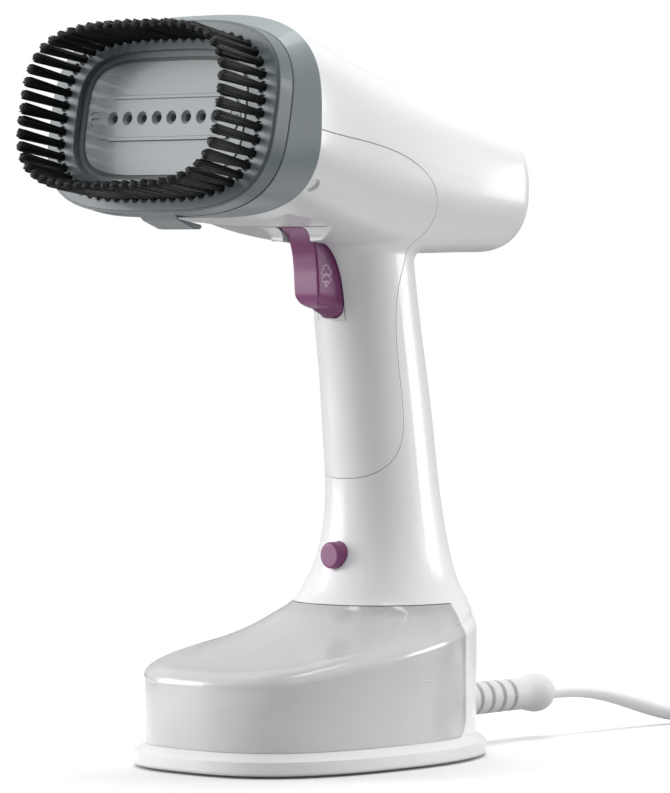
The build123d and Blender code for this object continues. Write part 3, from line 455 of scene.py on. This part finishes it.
def make_bristles(look):
    """Each tuft is a solid core with a sheaf of tapered filaments that spread towards the tip.

    A filament's root lies on a sunflower spiral in the tuft's root circle and its tip on the
    same spiral in the wider tip circle; its radius grows a little and closes in a point.
    """
    rng = np.random.default_rng(11)
    x0, y0 = tuft_places()
    index = np.arange(FILAMENTS)
    ray = np.sqrt((index + 0.5) / FILAMENTS)
    turn = index * GOLDEN_TURN
    # stations along a filament: share of the length, and share of the filament's radius
    along = np.array([0.0, 0.5, 0.93, 0.985, 1.0])
    thick = np.array([0.8, 1.0, 1.1, 0.75, 0.05])
    count = TUFTS * FILAMENTS
    px = np.repeat(x0, FILAMENTS)[:, None]
    py = np.repeat(y0, FILAMENTS)[:, None]
    lean = rng.normal(0, TIP_WANDER, (2, count, 1))
    ray_all = np.tile(ray, TUFTS)[:, None]
    turn_all = (np.tile(turn, TUFTS) + np.repeat(rng.uniform(0, 6.28, TUFTS), FILAMENTS))[:, None]
    reach = ROOT_RADIUS + (TIP_RADIUS - ROOT_RADIUS) * along[None, :]
    cx = px + ray_all * np.cos(turn_all) * reach + lean[0] * along
    cy = py + ray_all * np.sin(turn_all) * reach + lean[1] * along
    dome = TIP_DOME * ray_all ** 2
    length = TUFT_LENGTH - TIP_GAP - dome - rng.uniform(0, CUT_SPREAD, (count, 1))
    cz = BRUSH_FRONT - TUFT_DEPTH + (length + TUFT_DEPTH) * along[None, :]
    radius = (FILAMENT_RADIUS * thick)[None, :] * rng.uniform(0.9, 1.12, (count, 1))
    ring = np.arange(FILAMENT_SIDES) * 2 * np.pi / FILAMENT_SIDES
    gx = cx[..., None] + radius[..., None] * np.cos(ring)
    gy = cy[..., None] + radius[..., None] * np.sin(ring)
    gz = np.broadcast_to(cz[..., None], gx.shape)
    points = face_points(gx, gy, gz).reshape(-1, 3)
    one = grid_faces(len(along), FILAMENT_SIDES)
    step = len(along) * FILAMENT_SIDES
    faces = repeat_faces(one, count, step)
    sheaf = new_piece("bristle_filaments", points, faces, look)
    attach(sheaf, "brush")
    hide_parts("bristle_tufts")

    # cores: a tapered post with a rounded end, one for each tuft
    rim = np.linspace(0, 1, 6)
    share = np.concatenate([[0.0, 0.5], 0.9 + 0.07 * np.sin(rim * np.pi / 2)])
    body = np.concatenate([[0.00120, 0.00150], 0.00178 * np.cos(rim * np.pi / 2) + 0.00002])
    around = np.arange(CORE_SIDES) * 2 * np.pi / CORE_SIDES
    kx = x0[:, None, None] + body[None, :, None] * np.cos(around)
    ky = y0[:, None, None] + body[None, :, None] * np.sin(around)
    kz = BRUSH_FRONT - TUFT_DEPTH + (TUFT_LENGTH + TUFT_DEPTH) * share
    kz = np.broadcast_to(kz[None, :, None], kx.shape)
    points = face_points(kx, ky, kz).reshape(-1, 3)
    one = grid_faces(len(share), CORE_SIDES)
    step = len(share) * CORE_SIDES
    faces = repeat_faces(one, TUFTS, step)
    cores = new_piece("bristle_cores", points, faces, look)
    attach(cores, "brush")


# ---------------------------------------------------------------- trigger
# front of the trigger seen from the side, bottom to top: (y, z)
TRIGGER_FRONT = [(0.0086, 0.1773), (0.0030, 0.1793), (-0.0017, 0.1820), (-0.0033, 0.1856),
                 (-0.0036, 0.1900), (-0.0039, 0.1964), (-0.0048, 0.2030), (-0.0066, 0.2089),
                 (-0.0088, 0.2116), (-0.0122, 0.2137)]
TRIGGER_REAR = [(0.1773, 0.0118), (0.1964, 0.0095), (0.2137, 0.0085)]    # (z, y)
TRIGGER_LEVELS = 70
TRIGGER_AROUND = 120            # points round the outline at each level
TRIGGER_SIDE = 0.0071           # half width at the side
TRIGGER_CORNER = 0.0050         # rounding of the lower corners, seen from the front
FINGER_HALF = 0.0065            # half width of the finger face
FINGER_LEAST = 0.0003           # and at the foot of its U
FINGER_START, FINGER_FULL = 0.0040, 0.0105    # the U, in height over the lower end
SIDE_DEPTH = 0.0115             # the side face reaches this far behind the finger face


def make_trigger(look, mark):
    """Finger piece: for each height a rounded wedge-fronted outline, swept up the front line.

    The outline runs from the finger face's half width to the side's half width. Both shrink
    along a quarter circle at the bottom, so the finger face ends in a U. A running mean over
    the outline rounds its corners.
    """
    line = np.array(TRIGGER_FRONT)
    height = np.linspace(line[0, 1], line[-1, 1], TRIGGER_LEVELS)
    front = np.interp(height, line[:, 1], line[:, 0])
    window = 7
    ends = window // 2
    padded = np.concatenate([np.full(ends, front[0]), front, np.full(ends, front[-1])])
    front = np.convolve(padded, np.ones(window) / window, "valid")
    rise = height - height[0]
    below = np.maximum(TRIGGER_CORNER - rise, 0)
    inset = TRIGGER_CORNER - np.sqrt(np.maximum(TRIGGER_CORNER ** 2 - below ** 2, 0))
    side = TRIGGER_SIDE - inset
    share = np.clip((rise - FINGER_START) / (FINGER_FULL - FINGER_START), 0, 1)
    ridge = FINGER_HALF * np.sqrt(1 - (1 - share) ** 2) + FINGER_LEAST
    ridge = np.minimum(ridge, side - 0.0001)
    back = np.array(TRIGGER_REAR)
    rear = np.maximum(np.interp(height, back[:, 0], back[:, 1]), front + 0.0015)
    back_in = np.minimum(front + SIDE_DEPTH, rear - 0.0004)
    # for each level, an outline of straight stretches and then points evenly along it
    zero = np.zeros_like(side)
    xs = np.stack([zero, ridge, side, side, zero, -side, -side, -ridge, zero], 1)
    ys = np.stack([front, front, back_in, rear, rear, rear, back_in, front, front], 1)
    count = TRIGGER_AROUND
    rows = []
    for x, y in zip(xs, ys):
        run = np.concatenate([[0], np.cumsum(np.hypot(np.diff(x), np.diff(y)))])
        at = np.arange(count) * run[-1] / count
        rows.append(np.stack([np.interp(at, run, x), np.interp(at, run, y)], 1))
    outline = np.array(rows)
    outline = sum(np.roll(outline, k, axis=1) for k in (-1, 0, 1)) / 3
    z = np.broadcast_to(height[:, None], outline.shape[:2])
    points = np.concatenate([outline, z[..., None]], 2).reshape(-1, 3)
    faces = grid_faces(len(height), count).tolist()
    top = (len(height) - 1) * count
    faces.append(list(range(count))[::-1])
    faces.append(list(range(top, top + count)))
    piece = new_piece("finger_trigger", points, faces, look)
    piece.data.set_sharp_from_angle(angle=math.radians(50))
    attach(piece, "trigger")
    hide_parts("trigger")
    make_puffs(mark)


def make_puffs(mark):
    """Outline of steam on the trigger's right side: two clouds of three lobes over a stem.

    A cloud's radius at each angle is 0.62 + 0.42 |cos(1.5 (angle - 90 degrees))|, scaled in
    width and height. The stem is an upright oval.
    """
    middle, line_radius = 0.0008, 0.00019
    angle = np.linspace(0, 2 * np.pi, 90, endpoint=False)
    lobe = 0.62 + 0.42 * np.abs(np.cos(1.5 * (angle - 0.5 * np.pi)))
    oval = np.ones_like(lobe)
    grids = []
    # height over the floor, half width, half height and form of each outline
    for up, half_wide, half_high, reach in ((0.1962, 0.0029, 0.0023, lobe),
                                            (0.1932, 0.0027, 0.0018, lobe),
                                            (0.1911, 0.0011, 0.0011, oval),
                                            (0.1906, 0.0005, 0.0009, oval)):
        y = middle + half_wide * reach * np.cos(angle)
        z = up + half_high * reach * np.sin(angle)
        x = FINGER_HALF + FINGER_LEAST + 0.00002 + 0.026 * (y + 0.0037)
        grids.append(tube(np.stack([x, y, z], 1), line_radius, closed=True))
    piece = new_piece("steam_mark", *join_grids(grids), mark)
    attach(piece, "trigger")


# ---------------------------------------------------------------- trims round the trigger
RECESS_WALL = -0.0088           # y of the wall behind the finger recess
RECESS_ROOF, ROOF_SLOPE = 0.2141, 0.125       # the roof's z at the wall, and its rise forwards
HOLLOW_DEPTH, HOLLOW_HEIGHT, HOLLOW_LOW = 0.0054, 0.0057, 0.2080
HOLLOW_START, HOLLOW_END, END_SLOPE = 0.00745, 0.0142, 1.5    # in x, beside the trigger
HOLLOW_ROWS, HOLLOW_COLUMNS = 14, 24
WINDOW_HALF, WINDOW_LOW, WINDOW_FOOT = 0.00735, 0.1762, 0.1771
WINDOW_CORNER, WINDOW_FLAT = 0.0051, 0.0022   # corner radius, and where the corner starts in x
WINDOW_DEPTH = 0.0028
SKIN_AT, SKIN_Y = [0.176, 0.190], [0.0102, 0.0082]            # handle's front, y at two heights
SKIN_CURVE = 21.5               # and how it falls back, times x squared


def make_trims(look):
    """Hollow corners beside the trigger's top, and the rounded lower end of its window.

    A hollow corner is a quarter ellipse between the wall behind the finger recess and the
    recess's roof; it runs from the trigger's side to the recess's slanting side.
    """
    for side, name in ((-1, "left"), (1, "right")):
        bend = np.linspace(0, np.pi / 2, HOLLOW_ROWS)
        y = RECESS_WALL - HOLLOW_DEPTH * (1 - np.cos(bend))
        z = HOLLOW_LOW + HOLLOW_HEIGHT * np.sin(bend)
        end = HOLLOW_END + (RECESS_WALL - y) * END_SLOPE
        across = np.linspace(0, 1, HOLLOW_COLUMNS)
        x = side * (HOLLOW_START + across[None] * (end[:, None] - HOLLOW_START))
        front = np.stack([x, np.broadcast_to(y[:, None], x.shape),
                          np.broadcast_to(z[:, None], x.shape)], 2)
        back = front.copy()
        back[..., 1] = np.maximum(back[..., 1], RECESS_WALL) + 0.0004
        back[..., 2] = RECESS_ROOF + ROOF_SLOPE * (-0.009 - front[..., 1])
        sheet = np.concatenate([front, back[::-1]]).reshape(-1, 3)
        faces = grid_faces(2 * HOLLOW_ROWS, HOLLOW_COLUMNS, close_rows=True, close_columns=False)
        if side > 0:
            faces = faces[:, ::-1]
        piece = new_piece("trigger_corner_" + name, sheet, faces, look)
        piece.data.set_sharp_from_angle(angle=math.radians(40))
        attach(piece, "housing")
    # rounded lower end: the window's square end, filled up to a U
    x = np.linspace(-WINDOW_HALF, WINDOW_HALF, 61)
    over = np.maximum(np.abs(x) - WINDOW_FLAT, 0) / WINDOW_CORNER
    high = WINDOW_FOOT + WINDOW_CORNER * (1 - np.sqrt(np.maximum(1 - over ** 2, 0)))
    rows = []
    for share, deep in ((0, 0), (0.25, 0), (0.5, 0), (0.75, 0), (1, 0), (1, WINDOW_DEPTH),
                        (0, WINDOW_DEPTH)):
        z = WINDOW_LOW + share * (high - WINDOW_LOW)
        skin = np.interp(z, SKIN_AT, SKIN_Y) + SKIN_CURVE * x ** 2
        rows.append(np.stack([x, skin + deep, z], 1))
    faces = grid_faces(len(rows), len(x), close_rows=True, close_columns=False)
    end = new_piece("trigger_window_end", np.concatenate(rows), faces[:, ::-1], look)
    end.data.set_sharp_from_angle(angle=math.radians(40))
    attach(end, "housing")


# ---------------------------------------------------------------- tank details
TANK_HALF_WIDTH, TANK_FRONT, TANK_REAR = 0.0501, 0.070, 0.078
FRONT_POWER, REAR_POWER = 2.8, 2.15
SKIRT_OUT, SKIRT_IN = 0.0026, 0.0034          # inwards of the tank's wall
SKIRT_LOW, SKIRT_HIGH = 0.0098, 0.0158


def wall_line(inset, turn):
    """Plan line of the tank's upright wall: two half superellipses that meet abreast."""
    front = superellipse(TANK_HALF_WIDTH - inset, TANK_FRONT - inset, FRONT_POWER, turn)
    rear = superellipse(TANK_HALF_WIDTH - inset, TANK_REAR - inset, REAR_POWER, turn)
    back = np.sin(turn) > 0
    return np.where(back, rear[0], front[0]), np.where(back, rear[1], front[1])


def make_tank_skirt(look):
    """White band under the water chamber's floor, close behind the clear wall.

    It follows the wall's plan line, a little inside it, from the rear corner on the right round
    the front to the left.
    """
    turn = np.linspace(math.radians(37), math.radians(-217), 260)
    rows = []
    for inset, z in ((SKIRT_OUT, SKIRT_LOW), (SKIRT_OUT, SKIRT_HIGH),
                     (SKIRT_IN, SKIRT_HIGH), (SKIRT_IN, SKIRT_LOW)):
        x, y = wall_line(inset, turn)
        rows.append(np.stack([x, y, np.full_like(x, z)], 1))
    faces = grid_faces(4, len(turn), close_rows=True, close_columns=False)
    skirt = new_piece("tank_skirt", np.concatenate(rows), faces, look)
    skirt.data.set_sharp_from_angle(angle=math.radians(40))
    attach(skirt, "tank")


def make_level_mark(look):
    """Plain level line with a short upright tick at its end, raised from the tank's right wall.

    Each stroke is (across, up) in millimetres.
    """
    strokes = [
        (np.linspace(0, 6.8, 9), np.full(9, 1.0)),
        (np.full(5, 6.8), np.linspace(0, 2.0, 5)),
    ]
    low, first, line_radius = 0.0330, 0.0092, 0.00014
    grids = []
    for across, up in strokes:
        y = first + 0.001 * across
        x = TANK_HALF_WIDTH * (1 - (y / TANK_REAR) ** REAR_POWER) ** (1 / REAR_POWER)
        grids.append(tube(np.stack([x, y, low + 0.001 * up], 1), line_radius))
    mark = new_piece("level_mark", *join_grids(grids), look)
    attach(mark, "tank")


make_camera()
make_studio()
FINISHES = make_finishes()
dress_nodes(FINISHES)
make_cord(FINISHES["cord_white"])
make_bristles(FINISHES["bristles"])
make_trigger(FINISHES["purple"], FINISHES["mark"])
make_trims(FINISHES["white_housing"])
make_tank_skirt(FINISHES["tank_white"])
make_level_mark(FINISHES["tank_white"])
